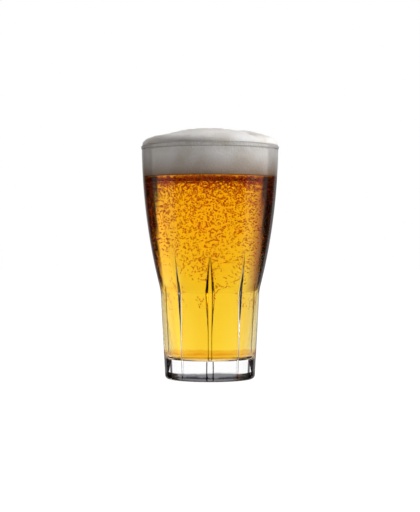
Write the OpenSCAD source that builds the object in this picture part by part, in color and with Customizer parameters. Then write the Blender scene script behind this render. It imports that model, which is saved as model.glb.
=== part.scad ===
// A pint of beer: a heavy tumbler with mitre-cut grooves round its lower body,
// filled with beer and topped by a domed head of foam. Millimetres, +Z up.
// The origin is at the middle of the foot, on the surface that the glass stands on.

/* [Glass outside] */
// Height of the glass from the foot to the top of the lip
glass_h = 154; // [130:1:185]
// Diameter of the body just under the lip
rim_d = 90.2; // [78:0.2:108]
// Diameter at the waist, where the flared bowl meets the grooved lower body
waist_d = 65.4; // [58:0.2:74]
// Diameter of the lower body at the foot, measured as if its heel were sharp
foot_d = 59.2; // [50:0.2:68]
// Height of the waist
waist_h = 58.5; // [48:0.5:70]
// Radius of the bowl's outward bulge, seen from the side
bowl_arc_r = 390; // [250:5:900]
// Radius that blends the bowl into the lower body, outside and inside
waist_blend_r = 28; // [10:1:45]
// Radius of the rounded heel
heel_r = 2.4; // [1:0.1:4]
// Radius of the rounded bead that forms the lip
lip_r = 1.45; // [1:0.05:2]

/* [Glass inside] */
// Thickness of the wall under the lip
rim_wall = 2.4; // [1.6:0.1:3.4]
// Thickness of the wall at the waist
waist_wall = 9.1; // [6:0.1:11]
// Thickness of the wall at the level of the floor
floor_wall = 11; // [7:0.1:13]
// Thickness of the solid base under the beer
base_t = 13; // [8:0.5:20]
// Radius of the inside of the bowl, seen from the side
bowl_inside_r = 220; // [160:5:420]
// Radius in the corner between the floor and the wall
floor_fillet_r = 4; // [2:0.5:6]
// Diameter of the shallow hollow under the foot
punt_d = 40; // [24:1:44]
// Depth of the hollow under the foot
punt_depth = 1.3; // [0.6:0.1:2.5]

/* [Grooves] */
// Number of grooves round the lower body
groove_count = 5; // [4:1:12]
// Depth of each groove at the waist
groove_depth = 2.3; // [1.2:0.1:3.2]
// Depth of each groove in the lower body
groove_low_depth = 1; // [0.5:0.1:1.8]
// Angle between a groove's two sides
groove_angle = 78; // [60:1:110]
// Height of the groove's pointed upper end
groove_tip_h = 86; // [76:1:110]
// Height at which a groove starts to widen towards the waist
groove_widen_h = 27; // [18:1:40]

/* [Beer and foam] */
// Depth of the beer's surface, where the foam starts, below the top of the lip
foam_depth = 21; // [8:0.5:45]
// Height of the foam's dome above the lip
head_rise = 11; // [4:0.5:20]
// How far the dome reaches out past the crest of the lip
head_lap = 0.6; // [0.2:0.1:1.1]
// Share of the dome's height that its rounded edge takes
head_shoulder = 0.38; // [0.2:0.02:0.6]
// How uneven the dome is, as the height of its lumps
head_lump = 0.55; // [0:0.05:1.2]

/* [Hidden] */
$fn = 180;
// segments of the long arcs, of the small round stretches and of the dome
long_steps = 18;
short_steps = 8;
dome_rings = 11;
dome_sectors = 48;
// gap between the dome's underside and the lip
dome_gap = 0.1;
// how far the dome's underside reaches in and down into the foam below it
dome_root_in = 1.5;
dome_root_down = 1;
// how far a groove's cutter stands out of the glass, and its reach past either end
cutter_out = 1.5;
cutter_end = 1;

beer_level = glass_h - foam_depth;
rim_r = rim_d / 2;
waist_r = waist_d / 2;
foot_r = foot_d / 2;
lip_h = glass_h - lip_r;
inner_rim_r = rim_r - rim_wall;
inner_waist_r = waist_r - waist_wall;
floor_out_r = foot_r + (waist_r - foot_r) * base_t / waist_h;
inner_floor_r = floor_out_r - floor_wall;
lip_mid_r = inner_rim_r + lip_r;
head_r = lip_mid_r + head_lap;

// Points are [radius, height].
// Centre of the circle of radius r through a and b that bulges away from the axis.
function arc_centre(a, b, r) =
    let (d = b - a, l = norm(d), m = (a + b) / 2)
    m + [-d[1], d[0]] / l * sqrt(r * r - l * l / 4);

// Centre of the blend between the line a-b, continued, and the circle round c,
// on the side that faces away from the axis.
function blend_centre(a, b, c, r, blend) =
    let (
        u = (b - a) / norm(b - a),
        n = [u[1], -u[0]],
        off = (c - a) * n - blend,
        along = sqrt((r + blend) * (r + blend) - off * off),
        foot = c - n * off
    )
    foot - u * along;

function on_circle(c, r, angle) = c + r * [cos(angle), sin(angle)];
function angle_of(v) = atan2(v[1], v[0]);
function whole_angle_of(v) = (angle_of(v) + 360) % 360;

// The wall line a-b, then its blend, then the bulging arc up to the point top.
function wall_profile(a, b, top, r, blend) =
    let (
        c = arc_centre(b, top, r),
        f = blend_centre(a, b, c, r, blend),
        u = (b - a) / norm(b - a),
        n = [u[1], -u[0]],
        from = whole_angle_of(-n),
        to = whole_angle_of(c - f),
        join = angle_of(f - c),
        last = angle_of(top - c)
    )
    concat(
        [a],
        [for (i = [0:short_steps]) on_circle(f, blend, from + (to - from) * i / short_steps)],
        [for (i = [1:long_steps]) on_circle(c, r, join + (last - join) * i / long_steps)]
    );

outer_wall = wall_profile(
    [foot_r, 0], [waist_r, waist_h], [rim_r, lip_h], bowl_arc_r, waist_blend_r
);
inner_wall = wall_profile(
    [inner_floor_r, base_t], [inner_waist_r, waist_h], [inner_rim_r, lip_h],
    bowl_inside_r, waist_blend_r
);

// Radius of a wall at height z.
function wall_r(wall, z) = lookup(z, [for (p = wall) [p[1], p[0]]]);

// Round stretch that replaces the corner between two sides, tangent to both.
function corner(before, at, after, r) =
    let (
        u = (before - at) / norm(before - at),
        v = (after - at) / norm(after - at),
        half = acos(u * v) / 2,
        c = at + (u + v) / norm(u + v) * r / sin(half),
        from = angle_of(at + u * r / tan(half) - c),
        to = angle_of(at + v * r / tan(half) - c),
        turn = to - from > 180 ? to - from - 360 : to - from < -180 ? to - from + 360 : to - from
    )
    [for (i = [0:short_steps]) on_circle(c, r, from + turn * i / short_steps)];

function above(wall) = [for (i = [1:len(wall) - 1]) wall[i]];
function below(wall, z) = [for (p = wall) if (p[1] < z) p];
function reversed(list) = [for (i = [len(list) - 1:-1:0]) list[i]];

heel = corner([0, 0], outer_wall[0], outer_wall[1], heel_r);
floor_corner = corner([0, base_t], inner_wall[0], inner_wall[1], floor_fillet_r);
// The inside of the glass from the middle of its floor up to the lip.
cavity = concat([[0, base_t]], floor_corner, above(inner_wall));

// Depth of a groove at height z, negative above its pointed end.
function ease(t) = t * t * (3 - 2 * t);
function depth_at(z) =
    z > waist_h ? groove_depth * (groove_tip_h - z) / (groove_tip_h - waist_h)
    : z < groove_widen_h ? groove_low_depth
    : groove_low_depth + (groove_depth - groove_low_depth)
        * ease((z - groove_widen_h) / (waist_h - groove_widen_h));

// Triangles of a closed tube whose rings have three corners each.
function tube_faces(rings) = concat(
    [[2, 1, 0]],
    [
        for (i = [0:rings - 2], k = [0:2])
            let (p = 3 * i + k, q = 3 * i + (k + 1) % 3)
            each [[p, q, p + 3], [q, q + 3, p + 3]]
    ],
    [[3 * rings - 3, 3 * rings - 2, 3 * rings - 1]]
);

// The V-shaped cutter of one groove, along the outside at +X.
module groove_cutter() {
    heights = concat(
        [-cutter_end, groove_widen_h],
        [for (i = [1:4]) groove_widen_h + (waist_h - groove_widen_h) * i / 4],
        [for (i = [1:8]) waist_h + (groove_tip_h + cutter_end - waist_h) * i / 8]
    );
    points = [
        for (z = heights)
            let (
                out = wall_r(outer_wall, z) + cutter_out,
                depth = depth_at(z) + cutter_out,
                half = depth * tan(groove_angle / 2)
            )
            each [[out - depth, 0, z], [out, half, z], [out, -half, z]]
    ];
    polyhedron(points, tube_faces(len(heights)), convexity = 2);
}

module lip() {
    translate([lip_mid_r, lip_h]) circle(lip_r, $fn = 48);
}

module glass() {
    punt_r = (punt_d * punt_d / 4 + punt_depth * punt_depth) / (2 * punt_depth);
    color("lightblue", 0.4)
    difference() {
        rotate_extrude() {
            polygon(concat([[0, 0]], heel, above(outer_wall), reversed(cavity)));
            lip();
        }
        for (i = [0:groove_count - 1])
            rotate(90 + (i + 0.5) * 360 / groove_count + 180) groove_cutter();
        intersection() {
            translate([0, 0, punt_depth - punt_r]) sphere(punt_r);
            cylinder(h = 2 * punt_depth, d = punt_d + 2, center = true);
        }
    }
}

module beer() {
    color("goldenrod")
    rotate_extrude()
        polygon(concat(
            below(cavity, beer_level),
            [[wall_r(inner_wall, beer_level), beer_level], [0, beer_level]]
        ));
}

// Height of the dome's lumps at radius r and angle t.
function lumps(r, t) =
    let (x = r * cos(t), y = r * sin(t))
    head_lump * (sin(9 * x + 40) * sin(7 * y + 110) + 0.6 * sin(5 * x - 11 * y)
        + 0.4 * sin(15 * y + 6 * x + 70));
// Height of the dome above the lip, at a share of its radius and the angle t.
function dome_z(share, t) =
    head_rise * ((1 - head_shoulder) * (1 - pow(share, 1.7))
        + head_shoulder * sqrt(1 - pow(share, 16)))
    + lumps(share * head_r, t) * (1 - pow(share, 6));

// The dome and its rounded edge, with an underside that slopes down into the foam below.
module dome() {
    n = dome_sectors;
    rings = concat(
        [
            for (i = [1:dome_rings], k = [0:n - 1])
                let (share = sin(90 * i / dome_rings), t = 360 * k / n)
                [share * head_r, t, i < dome_rings ? dome_z(share, t) : dome_gap]
        ],
        [for (k = [0:n - 1]) [lip_mid_r, 360 * k / n, dome_gap]],
        [for (k = [0:n - 1]) [inner_rim_r - dome_root_in, 360 * k / n, -dome_root_down]]
    );
    count = dome_rings + 2;
    faces = concat(
        [for (k = [0:n - 1]) [count * n, (k + 1) % n, k]],
        [
            for (i = [0:count - 2], k = [0:n - 1])
                let (p = i * n + k, q = i * n + (k + 1) % n)
                each [[p, q, p + n], [q, q + n, p + n]]
        ],
        [[for (k = [0:n - 1]) (count - 1) * n + k]]
    );
    points = concat(
        [for (p = rings) [p[0] * cos(p[1]), p[0] * sin(p[1]), p[2]]],
        [[0, 0, dome_z(0, 0)]]
    );
    translate([0, 0, glass_h]) polyhedron(points, faces, convexity = 4);
}

module foam() {
    color("ivory")
    union() {
        rotate_extrude()
            polygon(concat(
                [[0, beer_level], [wall_r(inner_wall, beer_level), beer_level]],
                [for (p = inner_wall) if (p[1] > beer_level) p],
                [[inner_rim_r, glass_h], [0, glass_h]]
            ));
        dome();
    }
}

glass();
beer();
foam();
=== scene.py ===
import math
import random

import bpy
import numpy as np
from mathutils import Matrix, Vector, noise


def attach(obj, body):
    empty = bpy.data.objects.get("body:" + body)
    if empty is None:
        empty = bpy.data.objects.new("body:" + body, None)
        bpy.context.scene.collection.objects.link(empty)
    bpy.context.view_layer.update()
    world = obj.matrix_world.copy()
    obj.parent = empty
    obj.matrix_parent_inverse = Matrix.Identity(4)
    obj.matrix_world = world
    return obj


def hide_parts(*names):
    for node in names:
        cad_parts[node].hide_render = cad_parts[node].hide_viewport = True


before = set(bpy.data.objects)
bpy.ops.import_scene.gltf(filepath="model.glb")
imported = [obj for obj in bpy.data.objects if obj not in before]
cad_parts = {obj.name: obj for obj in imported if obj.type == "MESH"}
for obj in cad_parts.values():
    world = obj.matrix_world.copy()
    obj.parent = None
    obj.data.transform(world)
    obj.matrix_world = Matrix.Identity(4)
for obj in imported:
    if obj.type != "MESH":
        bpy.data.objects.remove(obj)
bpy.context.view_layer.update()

MM = 0.001

# ---------------------------------------------------------------- sizes, in millimetres
GLASS_H = 154.0
RIM_R = 45.1
WAIST_R = 32.7
FOOT_R = 29.6
WAIST_H = 58.5  # where the straight lower wall meets the flared bowl
BOWL_ARC_R = 390.0
WAIST_BLEND_R = 28.0
HEEL_R = 2.4
LIP_R = 1.45
RIM_WALL = 2.4
WAIST_WALL = 9.1
FLOOR_WALL = 11.0  # wall at the height of the inside floor
BASE_T = 13.0
BOWL_INSIDE_R = 220.0
FLOOR_FILLET_R = 4.0
PUNT_R = 20.0  # the hollow under the foot
PUNT_DEPTH = 1.3

GROOVES = 5
GROOVE_DEPTH = 2.3
GROOVE_LOW_DEPTH = 0.6
GROOVE_HALF_W = 1.85
GROOVE_LOW_HALF_W = 0.85
GROOVE_TIP_H = 86.0
GROOVE_WIDEN_H = 27.0  # from here up to the waist the grooves grow from their low size to their full one

BEER_LEVEL = 133.0
HEAD_RISE = 11.1  # the dome's height above its edge
HEAD_LAP = 0.6  # how far past the middle of the lip the head's edge lies
SHOULDER = 0.38  # share of the head's rise that its steep edge has
HEAD_RINGS = 150
FOLD_AT = (17, -6)  # where the shallow fold in the foam starts
FOLD_RUN = (0.45, -0.89)  # and which way it runs
INTO_WALL = 0.12  # how far the beer and the foam reach into the glass, so that no air gap shows
INTO_EACH_OTHER = 0.15  # how far the beer reaches up into the foam, and the foam down into the beer
INNER_RINGS = 50  # rings down the inside wall of the glass
BEER_RINGS = 60  # rings up the side of the beer

BUBBLES = 16000
BUBBLE_REACH = 92.0  # how far down bubbles are found
BUBBLE_CROWD = 5.0  # depth of the crowded layer right under the foam
BUBBLE_CROWD_SHARE = 0.14  # share of the tries that are kept for that layer
BUBBLE_DEPTH = 0.8  # front to back, as a share of the width

LIP_H = GLASS_H - LIP_R
WALL_LOW = BASE_T + FLOOR_FILLET_R  # where the inside wall leaves the rounded corner of the floor
INNER_RIM_R = RIM_R - RIM_WALL
LIP_MID_R = INNER_RIM_R + LIP_R
HEAD_R = LIP_MID_R + HEAD_LAP


# ---------------------------------------------------------------- profiles, as (radius, height)
BLEND_STEPS = 12
ARC_STEPS = 40


def vec(x, y):
    return np.array([x, y], float)


def direction(v):
    """The angle of a vector, from straight out towards up."""
    return math.atan2(v[1], v[0])


def wall_profile(foot, waist, top, arc_r, blend_r):
    """A straight wall from foot to waist, a hollow blend, then an arc that bulges outwards up to top."""
    chord = top - waist
    length = np.linalg.norm(chord)
    back = math.sqrt(arc_r * arc_r - length * length / 4)
    arc_mid = (waist + top) / 2 + vec(-chord[1], chord[0]) / length * back
    up = (waist - foot) / np.linalg.norm(waist - foot)
    out = vec(up[1], -up[0])
    off = (arc_mid - foot) @ out - blend_r
    blend_mid = arc_mid - out * off - up * math.sqrt((arc_r + blend_r) ** 2 - off * off)
    turn = 2 * math.pi
    start = direction(-out) % turn
    stop = direction(arc_mid - blend_mid) % turn
    join = direction(blend_mid - arc_mid)
    last = direction(top - arc_mid)
    points = [foot]
    for i in range(BLEND_STEPS + 1):
        t = start + (stop - start) * i / BLEND_STEPS
        points.append(blend_mid + blend_r * vec(math.cos(t), math.sin(t)))
    for i in range(1, ARC_STEPS + 1):
        t = join + (last - join) * i / ARC_STEPS
        points.append(arc_mid + arc_r * vec(math.cos(t), math.sin(t)))
    return np.array(points)


FLOOR_OUT_R = FOOT_R + (WAIST_R - FOOT_R) * BASE_T / WAIST_H
OUTER = wall_profile(
    vec(FOOT_R, 0), vec(WAIST_R, WAIST_H), vec(RIM_R, LIP_H), BOWL_ARC_R, WAIST_BLEND_R
)
INNER = wall_profile(
    vec(FLOOR_OUT_R - FLOOR_WALL, BASE_T),
    vec(WAIST_R - WAIST_WALL, WAIST_H),
    vec(INNER_RIM_R, LIP_H),
    BOWL_INSIDE_R,
    WAIST_BLEND_R,
)


def outer_r(z):
    return float(np.interp(z, OUTER[:, 1], OUTER[:, 0]))


def inner_r(z):
    return float(np.interp(z, INNER[:, 1], INNER[:, 0]))


def heel_cut(z):
    """How far the rounded heel stands back from the straight side."""
    return HEEL_R - math.sqrt(HEEL_R**2 - (HEEL_R - z) ** 2) if z < HEEL_R else 0.0


def floor_rings(grow):
    """Rings (radius, height) from the middle of the inside floor to the top of its rounded corner."""
    centre_r, centre_h = inner_r(WALL_LOW) - FLOOR_FILLET_R, WALL_LOW
    rings = [(centre_r * s, BASE_T - grow) for s in (0.1, 0.3, 0.5, 0.7, 0.85, 0.95)]
    corner_r = FLOOR_FILLET_R + grow
    for i in range(13):
        a = math.pi / 2 * i / 12
        rings.append((centre_r + corner_r * math.sin(a), centre_h - corner_r * math.cos(a)))
    return rings


# ---------------------------------------------------------------- meshes
def link(name, verts, faces):
    """A smooth-shaded object in the scene, from corners in metres."""
    mesh = bpy.data.meshes.new(name)
    mesh.from_pydata([tuple(v) for v in verts], [], faces)
    mesh.validate()
    mesh.update()
    mesh.polygons.foreach_set("use_smooth", [True] * len(mesh.polygons))
    obj = bpy.data.objects.new(name, mesh)
    bpy.context.scene.collection.objects.link(obj)
    return obj


def lathe(name, rings):
    """A closed mesh from rings of points, bottom to top on the outside; each end is closed by a fan."""
    rings = [np.asarray(r, float) for r in rings]
    m = len(rings[0])
    verts = np.concatenate(rings + [[rings[0].mean(axis=0)], [rings[-1].mean(axis=0)]]) * MM
    faces = []
    for i in range(len(rings) - 1):
        p, q = i * m, (i + 1) * m
        for j in range(m):
            k = (j + 1) % m
            faces.append((p + j, p + k, q + k, q + j))
    first, last, top = len(rings) * m, len(rings) * m + 1, (len(rings) - 1) * m
    for j in range(m):
        k = (j + 1) % m
        faces.append((k, j, first))
        faces.append((top + j, top + k, last))
    return link(name, verts, faces)


def ring(r, z, angles):
    """Points round the axis at one height; r is one radius, or one for each angle."""
    return np.column_stack([r * np.sin(angles), -r * np.cos(angles), np.full(len(angles), z)])


def even(count):
    """Angles evenly round the circle."""
    return np.arange(count) * 2 * math.pi / count


# ---------------------------------------------------------------- the glass
GROOVE_ANGLES = [(i + 0.5) * 2 * math.pi / GROOVES for i in range(GROOVES)]


def groove_cut(angle, z, r):
    """Depth of the nearest groove at a point of the outside; angles are counted from the front."""
    step = 2 * math.pi / GROOVES
    phi = angle % step - step / 2
    if z >= WAIST_H:
        t = max(0.0, 1 - (z - WAIST_H) / (GROOVE_TIP_H - WAIST_H))
        half, depth = GROOVE_HALF_W * t, GROOVE_DEPTH * t
    else:
        t = min(1.0, max(0.0, (z - GROOVE_WIDEN_H) / (WAIST_H - GROOVE_WIDEN_H)))
        t = t * t * (3 - 2 * t)
        half = GROOVE_LOW_HALF_W + (GROOVE_HALF_W - GROOVE_LOW_HALF_W) * t
        depth = GROOVE_LOW_DEPTH + (GROOVE_DEPTH - GROOVE_LOW_DEPTH) * t
    if half < 0.03:
        return 0.0
    u = abs(phi) * r / half
    return depth * (1 - u * u) ** 0.6 if u < 1 else 0.0


def glass_angles():
    """Columns of the glass: fine across each groove, coarser between."""
    fine = [math.radians(a) for a in np.arange(-3.6, 3.61, 0.2)]
    edge = [math.radians(a) for a in (4.2, 5.0, 6.2, 7.8)]
    gap = 2 * math.pi / GROOVES
    between = np.arange(math.radians(9.6), gap - math.radians(9.6) + 1e-6, math.radians(2.2))
    angles = []
    for g in GROOVE_ANGLES:
        angles += [g + a for a in [-e for e in reversed(edge)] + fine + edge]
        angles += [g + a for a in between]
    return np.array(angles)


def make_glass():
    angles = glass_angles()
    rings = []
    for s in (0.08, 0.3, 0.5, 0.7, 0.85, 0.95, 1.0):
        rings.append(ring(PUNT_R * s, PUNT_DEPTH * (1 - s * s), angles))
    rings.append(ring((PUNT_R + FOOT_R - HEEL_R) / 2, 0, angles))
    heights = [HEEL_R * (1 - math.cos(math.pi / 2 * i / 8)) for i in range(9)]
    heights += list(np.arange(4.0, 40.0, 2.0)) + list(np.arange(40.0, 90.0, 0.6))
    heights += list(np.arange(90.0, LIP_H - 1.0, 2.5)) + [LIP_H - 1.0]
    for z in heights:
        r0 = outer_r(z)
        cuts = np.array([groove_cut(a, z, r0) for a in angles])
        rings.append(ring(r0 - cuts - heel_cut(z), z, angles))
    for i in range(15):
        a = -0.9 + (math.pi + 0.9) * i / 14
        rings.append(ring(LIP_MID_R + LIP_R * math.cos(a), LIP_H + LIP_R * math.sin(a), angles))
    outside = len(rings)
    for z in np.linspace(LIP_H - 1.5, WALL_LOW + 1, INNER_RINGS):
        rings.append(ring(inner_r(z), z, angles))
    for r, z in reversed(floor_rings(0)):
        rings.append(ring(r, z, angles))
    obj = lathe("glass_fine", rings)
    # the inside wall and floor, and the fan that closes the floor, have the second material
    wet = np.zeros(len(obj.data.polygons), int)
    count = len(angles)
    wet[outside * count : (len(rings) - 1) * count] = 1
    wet[(len(rings) - 1) * count + 1 :: 2] = 1
    obj.data.materials.append(glass_material())
    obj.data.materials.append(wet_glass_material())
    obj.data.polygons.foreach_set("material_index", wet)
    return obj


# ---------------------------------------------------------------- the beer
def make_beer():
    angles = even(180)
    rings = [ring(r, z, angles) for r, z in floor_rings(INTO_WALL)]
    for z in np.linspace(WALL_LOW + 1, BEER_LEVEL, BEER_RINGS):
        rings.append(ring(inner_r(z) + INTO_WALL, z, angles))
    top_r = inner_r(BEER_LEVEL) + INTO_WALL
    for s in (0.97, 0.9, 0.75, 0.55, 0.3, 0.1):
        rings.append(ring(top_r * s, BEER_LEVEL + INTO_EACH_OTHER, angles))
    return lathe("beer_fine", rings)


# ---------------------------------------------------------------- the foam
def dome_shape(share):
    """Height of the dome, 1 in the middle and 0 at the edge, which is steep."""
    return (1 - SHOULDER) * (1 - share**1.7) + SHOULDER * math.sqrt(max(0.0, 1 - share**16))


def foam_lumps(x, y, share):
    """Height added to the dome: a shallow fold to the right of the middle, and soft lumps."""
    from_x, from_y = x - FOLD_AT[0], y - FOLD_AT[1]
    along = from_x * FOLD_RUN[0] + from_y * FOLD_RUN[1]
    across = from_x * -FOLD_RUN[1] + from_y * FOLD_RUN[0]
    fold = -1.5 * math.exp(-((across / 4.2) ** 2)) / (1 + math.exp(-along / 5.0))
    lobe = 1.1 * math.exp(-(((x - 24) / 8) ** 2 + ((y + 4) / 14) ** 2))
    soft = 1.1 * noise.noise(Vector((x * 0.055 + 3, y * 0.055, 0.5)))
    small = 0.28 * noise.noise(Vector((x * 0.28, y * 0.28, 7.5)))
    return (fold + lobe + soft + small) * (1 - share**10)


def foam_grain(p):
    """Relief of the foam's skin, in millimetres."""
    return 0.07 * noise.noise(p * 1.1) + 0.05 * noise.noise(p * 2.3 + Vector((9, 4, 1)))


def make_foam():
    angles = even(300)
    under_r, under = inner_r(BEER_LEVEL), BEER_LEVEL - INTO_EACH_OTHER
    rings = [ring(under_r * s, under, angles) for s in (0.1, 0.4, 0.7, 0.9, 0.99)]
    for z in np.linspace(BEER_LEVEL - 0.1, LIP_H, 14):
        rings.append(ring(inner_r(z) + INTO_WALL + 0.05, z, angles))
    rings.append(ring(INNER_RIM_R + 0.25, GLASS_H - 0.8, angles))
    rings.append(ring(LIP_MID_R - 0.5, GLASS_H - 0.05, angles))
    rings.append(ring(LIP_MID_R, GLASS_H + 0.03, angles))
    rings.append(ring(HEAD_R - 0.1, GLASS_H + 0.1, angles))
    for i in range(1, HEAD_RINGS - 1):
        share = math.sin(math.pi / 2 * (1 - i / HEAD_RINGS))
        base = ring(HEAD_R * share, 0, angles)
        for p in base:
            lump = foam_lumps(p[0], p[1], share)
            p[2] = GLASS_H + 0.2 + HEAD_RISE * dome_shape(share) + lump
            grain = foam_grain(Vector(p))
            p[2] += grain
            p[:2] *= 1 + grain / HEAD_R * 1.5 * share**8
        rings.append(base)
    return lathe("foam_fine", rings)


# ---------------------------------------------------------------- bubbles in the beer
def make_bubbles():
    """Short slanting strings of small bubbles, thickest under the foam, thinning out downwards."""
    rng = random.Random(11)
    spots = []
    while len(spots) < BUBBLES:
        reach = BUBBLE_REACH if rng.random() < 1 - BUBBLE_CROWD_SHARE else BUBBLE_CROWD
        z = BEER_LEVEL - 0.8 - reach * rng.random() ** 2.0
        angle = rng.uniform(0, 2 * math.pi)
        depth = (BEER_LEVEL - z) / 90
        clump = noise.noise(Vector((math.sin(angle) * 4, math.cos(angle) * 4, z * 0.07)))
        if clump < 1.5 * depth - 1.15 + 0.3 * rng.random():
            continue
        on_wall = rng.random() < 0.7
        lean = rng.choice((-1, 1)) * rng.uniform(0.2, 2.2)
        inside = math.sqrt(rng.uniform(0.5, 0.99))
        for _ in range(rng.choice((1, 2, 2, 3))):
            size = rng.uniform(0.19, 0.38)
            wall = inner_r(z) - size - 0.04
            spots.append((wall if on_wall else wall * inside, angle, z, size))
            z += size * rng.uniform(0.9, 1.7)
            angle += lean * size * rng.uniform(0.8, 1.6) / max(wall, 8)
            if z > BEER_LEVEL - 0.5:
                break
    # each is a six-sided double cone, a little flattened towards the wall; smooth shading rounds it off
    corners = [math.radians(60 * k) for k in range(6)]
    verts, faces = [], []
    for r, angle, z, size in spots[:BUBBLES]:
        first = len(verts)
        out, across = (math.sin(angle), -math.cos(angle)), (math.cos(angle), math.sin(angle))
        for a in corners:
            side, up = size * math.cos(a), size * math.sin(a)
            verts.append((r * out[0] + side * across[0], r * out[1] + side * across[1], z + up))
        for near in (size * BUBBLE_DEPTH, -size * BUBBLE_DEPTH):
            verts.append(((r + near) * out[0], (r + near) * out[1], z))
        for k in range(6):
            a, b = first + k, first + (k + 1) % 6
            faces += [(a, b, first + 6), (b, a, first + 7)]
    return link("bubbles", np.array(verts) * MM, faces)


# ---------------------------------------------------------------- materials
GLASS_IOR = 1.52
BEER_IOR = 1.34
WET_REFLECTION = (0.06, 0.06, 0.06, 1)  # what is left of the reflection where glass and beer touch
SOAKED_H = 20.0  # height in the foam that the stops of its soaked ramp are shares of


def new_material(name):
    """A node material: itself, its tree and its main shader."""
    mat = bpy.data.materials.new(name)
    mat.use_nodes = True
    tree = mat.node_tree
    return mat, tree, tree.nodes["Principled BSDF"]


def add(tree, kind, **sockets):
    """A node with some inputs set; _ in a keyword stands for a space in the input's name."""
    node = tree.nodes.new(kind)
    for key, value in sockets.items():
        node.inputs[key.replace("_", " ")].default_value = value
    return node


def ramp(tree, stops):
    """A colour ramp from (place, colour) pairs."""
    node = tree.nodes.new("ShaderNodeValToRGB")
    marks = node.color_ramp.elements
    while len(marks) < len(stops):
        marks.new(0.5)
    for mark, (at, colour) in zip(marks, stops):
        mark.position = at
        mark.color = (*colour, 1)
    return node


def painted_edge_shade(tree, facing, height, zones):
    """Light let through, painted darker and tinted by how edge-on the surface is: painted edge shade and
    reflections.

    Each zone is (height in mm where it starts, height it blends in over, stops of its ramp)."""
    colour = None
    for start, blend, stops in zones:
        bands = ramp(tree, stops)
        tree.links.new(facing, bands.inputs["Fac"])
        if colour is None:
            colour = bands.outputs["Color"]
            continue
        step = add(tree, "ShaderNodeMapRange")
        step.inputs["From Min"].default_value = start * MM
        step.inputs["From Max"].default_value = (start + blend) * MM
        tree.links.new(height, step.inputs["Value"])
        mix = tree.nodes.new("ShaderNodeMix")
        mix.data_type = "RGBA"
        tree.links.new(step.outputs[0], mix.inputs[0])
        tree.links.new(colour, mix.inputs[6])
        tree.links.new(bands.outputs["Color"], mix.inputs[7])
        colour = mix.outputs[2]
    return colour


def glass_material():
    mat, tree, bsdf = new_material("clear_glass")
    bsdf.inputs["Roughness"].default_value = 0.0
    bsdf.inputs["IOR"].default_value = GLASS_IOR
    bsdf.inputs["Transmission Weight"].default_value = 1.0
    coord = tree.nodes.new("ShaderNodeTexCoord")
    split = tree.nodes.new("ShaderNodeSeparateXYZ")
    tree.links.new(coord.outputs["Object"], split.inputs[0])
    edge = add(tree, "ShaderNodeLayerWeight", Blend=0.5)
    # painted shade and reflections: by how edge-on the glass is, the ramps below darken it towards its
    # edges and tint it with straw, brown and grey bands
    white, dark, brown = (1, 1, 1), (0.02, 0.02, 0.022), (0.07, 0.03, 0.015)
    straw, slate = (0.76, 0.62, 0.27), (0.03, 0.035, 0.05)
    heel = [(0.1, (0.06, 0.06, 0.07)), (0.35, dark)]
    base = [(0.44, white), (0.46, dark), (0.52, dark), (0.54, white), (0.58, white)]
    base += [(0.6, dark), (0.86, dark), (0.88, white), (0.92, white), (0.95, dark)]
    beer_floor = [(0.1, (0.8, 0.5, 0.25)), (0.4, (0.75, 0.4, 0.15)), (0.9, dark)]
    stem = [(0.08, white), (0.27, (0.95, 0.79, 0.42)), (0.53, straw), (0.545, brown)]
    stem += [(0.565, brown), (0.58, straw), (0.88, straw), (0.93, dark)]
    waist = [(0.6, white), (0.66, brown), (0.9, brown), (1.0, dark)]
    foam = [(0.45, white), (0.5, (0.6, 0.6, 0.6)), (0.9, (0.45, 0.45, 0.45)), (1.0, dark)]

    def bowl(clear, slate_from, slate_to, gap, brown_from, brown_to):
        """Painted reflections and shade: clear, then a cold streak, a dark gap and a warm streak, out to
        the painted dark edge.
        """
        streaks = [(clear, white), (slate_from, slate), (slate_to, slate), (gap, dark)]
        return streaks + [(brown_from, brown), (brown_to, brown), (1.0, dark)]

    zones = [
        (0, 1, heel),
        (4.8, 1.2, base),
        (15.4, 1.2, beer_floor),
        (19.6, 1.2, stem),
        (62, 4, waist),
        (74, 12, bowl(0.51, 0.56, 0.59, 0.61, 0.64, 0.9)),
        (90, 12, bowl(0.43, 0.47, 0.54, 0.56, 0.6, 0.9)),
        (108, 14, bowl(0.36, 0.4, 0.47, 0.49, 0.52, 0.8)),
        (134.4, 1.2, foam),
    ]
    # the ends of the painted shade and reflection bands are a little uneven, as moulded glass is
    waves = add(tree, "ShaderNodeTexNoise", Scale=130.0, Detail=3.0)
    tree.links.new(coord.outputs["Object"], waves.inputs["Vector"])
    height = tree.nodes.new("ShaderNodeMath")
    height.operation = "MULTIPLY_ADD"
    height.inputs[1].default_value = 4 * MM
    tree.links.new(waves.outputs["Fac"], height.inputs[0])
    tree.links.new(split.outputs["Z"], height.inputs[2])
    # the painted edge shade and reflections become the colour of the light the glass lets through
    tint = painted_edge_shade(tree, edge.outputs["Facing"], height.outputs[0], zones)
    tree.links.new(tint, bsdf.inputs["Base Color"])
    # faint unevenness of pressed glass
    wave = add(tree, "ShaderNodeTexNoise", Scale=55.0, Detail=2.0)
    bump = add(tree, "ShaderNodeBump", Strength=0.05, Distance=0.0002)
    tree.links.new(coord.outputs["Object"], wave.inputs["Vector"])
    tree.links.new(wave.outputs["Fac"], bump.inputs["Height"])
    tree.links.new(bump.outputs["Normal"], bsdf.inputs["Normal"])
    return mat


def wet_glass_material():
    """The inside wall where beer or foam touches it, with little of the reflection that air gives."""
    mat, _, bsdf = new_material("clear_glass_wet")
    bsdf.inputs["Base Color"].default_value = (1, 1, 1, 1)
    bsdf.inputs["Roughness"].default_value = 0.0
    bsdf.inputs["IOR"].default_value = GLASS_IOR
    bsdf.inputs["Transmission Weight"].default_value = 1.0
    bsdf.inputs["Specular Tint"].default_value = WET_REFLECTION
    return mat


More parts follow.
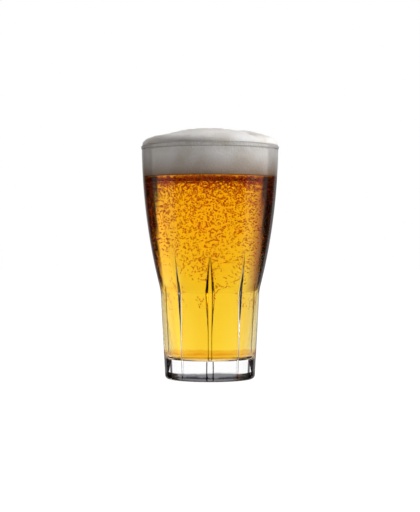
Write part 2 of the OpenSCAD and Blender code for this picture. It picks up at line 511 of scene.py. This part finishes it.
def beer_material():
    mat, tree, bsdf = new_material("beer")
    bsdf.inputs["Roughness"].default_value = 0.0
    bsdf.inputs["IOR"].default_value = BEER_IOR
    bsdf.inputs["Transmission Weight"].default_value = 1.0
    bsdf.inputs["Specular Tint"].default_value = WET_REFLECTION
    # faint, tall cloudiness, as in a freshly poured glass
    coord = tree.nodes.new("ShaderNodeTexCoord")
    stretch = tree.nodes.new("ShaderNodeMapping")
    stretch.inputs["Scale"].default_value = (1.0, 1.0, 0.3)
    haze = add(tree, "ShaderNodeTexNoise", Scale=45.0, Detail=3.0)
    tint = ramp(tree, [(0.35, (0.96, 0.9, 0.8)), (0.6, (1, 1, 1))])
    tree.links.new(coord.outputs["Object"], stretch.inputs["Vector"])
    tree.links.new(stretch.outputs["Vector"], haze.inputs["Vector"])
    tree.links.new(haze.outputs["Fac"], tint.inputs["Fac"])
    tree.links.new(tint.outputs["Color"], bsdf.inputs["Base Color"])
    gold = tree.nodes.new("ShaderNodeVolumeAbsorption")
    gold.inputs["Color"].default_value = (0.998, 0.872, 0.0, 1)
    gold.inputs["Density"].default_value = 85.0
    tree.links.new(gold.outputs[0], tree.nodes["Material Output"].inputs["Volume"])
    return mat


def bubble_shade_material():
    mat, tree, bsdf = new_material("bubbles")
    coord = tree.nodes.new("ShaderNodeTexCoord")
    patch = add(tree, "ShaderNodeTexNoise", Scale=400.0)
    # the bubbles let light through as clear bubbles do; their reddish-brown tint is painted shade,
    # standing in for the dark rim that bubbles in beer show by bending light away
    tint = ramp(tree, [(0.35, (0.8, 0.16, 0.02)), (0.65, (0.95, 0.32, 0.05))])
    tree.links.new(coord.outputs["Object"], patch.inputs["Vector"])
    tree.links.new(patch.outputs["Fac"], tint.inputs["Fac"])
    tree.links.new(tint.outputs["Color"], bsdf.inputs["Base Color"])
    bsdf.inputs["Roughness"].default_value = 0.5
    bsdf.inputs["Transmission Weight"].default_value = 0.85
    bsdf.inputs["IOR"].default_value = 1.1
    return mat


def foam_material():
    mat, tree, bsdf = new_material("foam")
    coord = tree.nodes.new("ShaderNodeTexCoord")
    cells = add(tree, "ShaderNodeTexVoronoi", Scale=1500.0)
    large = add(tree, "ShaderNodeTexVoronoi", Scale=520.0)
    cloud = add(tree, "ShaderNodeTexNoise", Scale=70.0, Detail=4.0)
    cream, pale, bright = (0.70, 0.66, 0.60), (0.80, 0.78, 0.75), (0.86, 0.85, 0.84)
    tint = ramp(tree, [(0.3, cream), (0.5, pale), (0.7, bright)])
    for texture in (cells, large, cloud):
        tree.links.new(coord.outputs["Object"], texture.inputs["Vector"])
    tree.links.new(cloud.outputs["Fac"], tint.inputs["Fac"])
    split = tree.nodes.new("ShaderNodeSeparateXYZ")
    tree.links.new(coord.outputs["Object"], split.inputs[0])
    # soaked with beer underneath, and a little darker for some way up
    low = add(tree, "ShaderNodeMapRange")
    low.inputs["From Min"].default_value = (BEER_LEVEL - 0.5) * MM
    low.inputs["From Max"].default_value = (BEER_LEVEL - 0.5 + SOAKED_H) * MM
    tree.links.new(split.outputs["Z"], low.inputs["Value"])
    amber, brown, tan, white = (0.3, 0.08, 0.02), (0.48, 0.35, 0.26), (0.72, 0.65, 0.6), (1, 1, 1)
    soaked = ramp(tree, [(0.025, amber), (0.06, brown), (0.3, tan), (0.7, white)])
    tree.links.new(low.outputs[0], soaked.inputs["Fac"])
    mix = tree.nodes.new("ShaderNodeMix")
    mix.data_type = "RGBA"
    mix.blend_type = "MULTIPLY"
    mix.inputs[0].default_value = 1.0
    tree.links.new(tint.outputs["Color"], mix.inputs[6])
    tree.links.new(soaked.outputs["Color"], mix.inputs[7])
    tree.links.new(mix.outputs[2], bsdf.inputs["Base Color"])
    total = tree.nodes.new("ShaderNodeMath")
    total.operation = "ADD"
    tree.links.new(cells.outputs["Distance"], total.inputs[0])
    tree.links.new(large.outputs["Distance"], total.inputs[1])
    bump = add(tree, "ShaderNodeBump", Strength=0.5, Distance=0.0004)
    tree.links.new(total.outputs[0], bump.inputs["Height"])
    tree.links.new(bump.outputs["Normal"], bsdf.inputs["Normal"])
    bsdf.inputs["Roughness"].default_value = 0.75
    bsdf.inputs["Specular IOR Level"].default_value = 0.3
    return mat


# ---------------------------------------------------------------- build
pieces = [
    (make_glass(), "glass", "clear_glass", None),
    (make_beer(), "beer", "beer", beer_material()),
    (make_foam(), "foam", "foam", foam_material()),
    (make_bubbles(), None, "beer", bubble_shade_material()),
]
for obj, node, slot, material in pieces:
    if material:
        obj.data.materials.append(material)
    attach(obj, "root")
    if node:
        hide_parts(node)

# ---------------------------------------------------------------- stage
REFLECTED = 0.3  # how bright the studio is in reflections
FLOOR_HALF = 4.0
FLOOR_DROP = 0.0002  # the floor is just under the foot, so that the two don't flicker
CAMERA_AT = (0, -0.971, 0.0887)
CAMERA_LENS = 125.7
CAMERA_SHIFT = -0.0276


def make_floor():
    """A floor that glows as white as the photo's background, and shows almost no light or shadow."""
    mesh = bpy.data.meshes.new("floor")
    corners = [(FLOOR_HALF * x, FLOOR_HALF * y, 0) for x, y in ((-1, -1), (1, -1), (1, 1), (-1, 1))]
    mesh.from_pydata(corners, [], [(0, 1, 2, 3)])
    obj = bpy.data.objects.new("floor", mesh)
    obj.location.z = -FLOOR_DROP
    bpy.context.scene.collection.objects.link(obj)
    mat, _, bsdf = new_material("pale_floor")
    bsdf.inputs["Base Color"].default_value = (0.12, 0.12, 0.12, 1)
    bsdf.inputs["Roughness"].default_value = 1.0
    bsdf.inputs["Specular IOR Level"].default_value = 0.0
    bsdf.inputs["Emission Color"].default_value = (1, 1, 1, 1)
    bsdf.inputs["Emission Strength"].default_value = 0.98
    obj.visible_glossy = False
    obj.visible_diffuse = False
    obj.data.materials.append(mat)
    return obj


def make_world():
    """White to the camera. To rays bent by the glass, white behind it and at the sides, dark between."""
    world = bpy.data.worlds.new("studio")
    bpy.context.scene.world = world
    world.use_nodes = True
    tree = world.node_tree
    back = tree.nodes["Background"]
    coord = tree.nodes.new("ShaderNodeTexCoord")
    split = tree.nodes.new("ShaderNodeSeparateXYZ")
    tree.links.new(coord.outputs["Generated"], split.inputs[0])
    turn = tree.nodes.new("ShaderNodeMath")
    turn.operation = "ARCTAN2"
    tree.links.new(split.outputs["X"], turn.inputs[0])
    tree.links.new(split.outputs["Y"], turn.inputs[1])
    part = tree.nodes.new("ShaderNodeMapRange")
    part.inputs["From Min"].default_value = -math.pi
    part.inputs["From Max"].default_value = math.pi
    tree.links.new(turn.outputs[0], part.inputs["Value"])

    # by degrees from behind the glass, positive to the right of the photo
    white, pale, tan = (1, 1, 1), (0.85, 0.85, 0.85), (0.5, 0.3, 0.2)
    umber, black = (0.2, 0.12, 0.08), (0.03, 0.02, 0.02)
    levels = [(-180, black), (-118, black), (-112, pale), (-66, pale), (-61, black), (-38, black)]
    levels += [(-29, tan), (-20, white), (33, white), (36, umber), (46, black), (61, black)]
    levels += [(66, white), (112, white), (118, black), (180, black)]
    pattern = ramp(tree, [((degrees + 180) / 360, colour) for degrees, colour in levels])
    tree.links.new(part.outputs[0], pattern.inputs["Fac"])
    path = tree.nodes.new("ShaderNodeLightPath")
    dim = tree.nodes.new("ShaderNodeMapRange")
    dim.inputs["To Min"].default_value = 1.0
    dim.inputs["To Max"].default_value = REFLECTED
    mirrored = tree.nodes.new("ShaderNodeMath")
    mirrored.operation = "SUBTRACT"
    mirrored.use_clamp = True
    tree.links.new(path.outputs["Is Glossy Ray"], mirrored.inputs[0])
    tree.links.new(path.outputs["Is Transmission Ray"], mirrored.inputs[1])
    tree.links.new(mirrored.outputs[0], dim.inputs["Value"])
    mix = tree.nodes.new("ShaderNodeMix")
    mix.data_type = "RGBA"
    tree.links.new(path.outputs["Is Camera Ray"], mix.inputs[0])
    tree.links.new(pattern.outputs["Color"], mix.inputs[6])
    mix.inputs[7].default_value = (1, 1, 1, 1)
    tree.links.new(mix.outputs[2], back.inputs["Color"])
    tree.links.new(dim.outputs[0], back.inputs["Strength"])


def area_light(name, at, towards, size, power):
    """A square lamp that doesn't show in reflections."""
    lamp = bpy.data.lights.new(name, "AREA")
    lamp.energy = power
    lamp.size = size
    obj = bpy.data.objects.new(name, lamp)
    obj.location = at
    obj.rotation_euler = (Vector(towards) - Vector(at)).to_track_quat("-Z", "Y").to_euler()
    obj.visible_glossy = False
    bpy.context.scene.collection.objects.link(obj)


def make_camera():
    lens = bpy.data.cameras.new("camera")
    lens.sensor_fit = "HORIZONTAL"
    lens.sensor_width = 36
    lens.lens = CAMERA_LENS
    lens.shift_y = CAMERA_SHIFT
    obj = bpy.data.objects.new("camera", lens)
    obj.location = CAMERA_AT
    obj.rotation_euler = (math.radians(90), 0, 0)
    bpy.context.scene.collection.objects.link(obj)
    bpy.context.scene.camera = obj


floor = make_floor()
make_world()
area_light("key", (0.85, -0.36, 0.42), (0, 0, 0.14), 0.8, 9)
area_light("top", (0, 0.4, 1.2), (0, 0.1, 0), 1.5, 4)
make_camera()

scene = bpy.context.scene
scene.view_settings.view_transform = "Standard"
scene.cycles.max_bounces = 24
scene.cycles.transmission_bounces = 24
scene.cycles.transparent_max_bounces = 16
